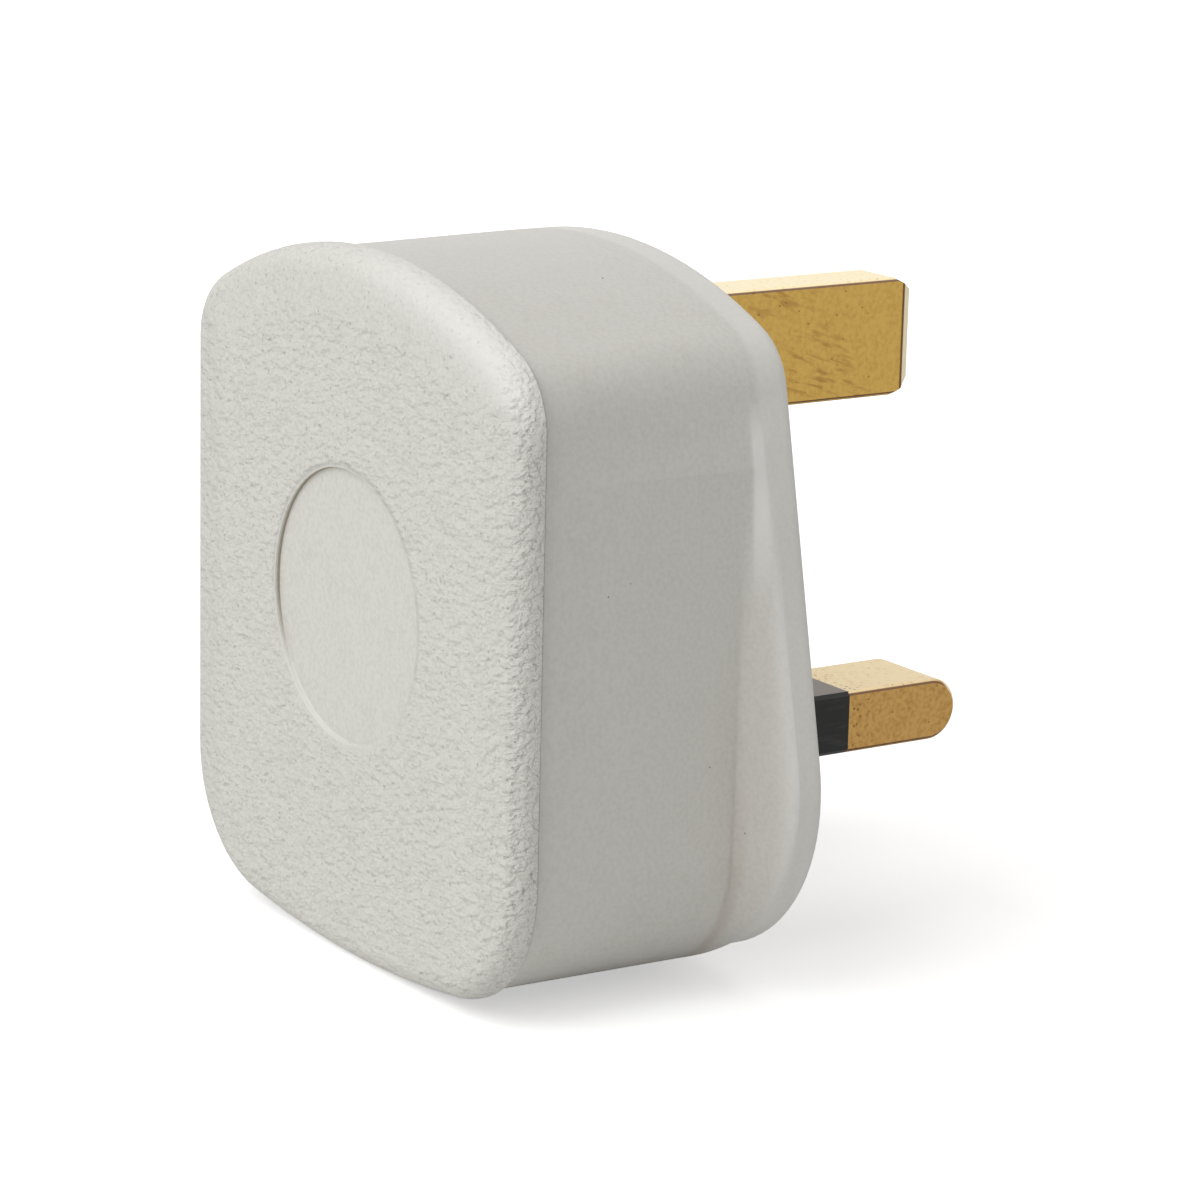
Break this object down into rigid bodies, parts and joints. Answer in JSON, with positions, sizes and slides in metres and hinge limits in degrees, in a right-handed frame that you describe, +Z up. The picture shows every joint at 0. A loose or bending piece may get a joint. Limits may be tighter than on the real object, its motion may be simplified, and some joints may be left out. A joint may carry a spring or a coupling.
{
  "type": "uk three pin plug",
  "caption": "Rewireable mains plug with flared side grips, grained front cap, brass pins with sleeved roots, inner fuse, cable terminals and cord grip.",
  "frame": {"origin": "midway between the live and neutral pins, on the engagement face that meets the socket", "axes": "+Y the way the pins point, +Z up towards the earth pin, +X to the right as seen from the front cap, where the live pin is"},
  "size_m": [0.0482, 0.0429, 0.0457],
  "materials": {
    "cover_plastic": "satin, with a grained front cap",
    "base_plastic": "satin",
    "pin_brass": "worn, with fine scratches",
    "clip_brass": "satin",
    "screw_brass": "turned",
    "sleeve_plastic": "satin",
    "fuse_ceramic": "opaque glazed ceramic",
    "fuse_filling": "opaque quartz sand",
    "fuse_wire": "tinned wire",
    "plated_metal": "bright plated",
    "grip_plastic": "satin",
    "washer_fibre": "pressed fibre"
  },
  "bodies": {
    "root": {"cover": "cover_plastic", "base": "base_plastic", "earth_pin": "pin_brass", "live_pin": "pin_brass", "neutral_pin": "pin_brass", "live_sleeve": "sleeve_plastic", "neutral_sleeve": "sleeve_plastic", "live_terminal": "pin_brass", "pin_fuse_clip": "clip_brass", "terminal_fuse_clip": "clip_brass", "fuse_tube": "fuse_ceramic", "fuse_cap_upper": "plated_metal", "fuse_cap_lower": "plated_metal", "fuse_element": "fuse_wire", "fuse_sand": "fuse_filling", "earth_screw": "screw_brass", "neutral_screw": "screw_brass", "live_screw": "screw_brass", "cord_grip": "grip_plastic", "grip_screw_left": "plated_metal", "grip_screw_right": "plated_metal", "cover_screw": "plated_metal", "cover_nut": "plated_metal", "cover_screw_washer": "washer_fibre"}
  },
  "joints": []
}
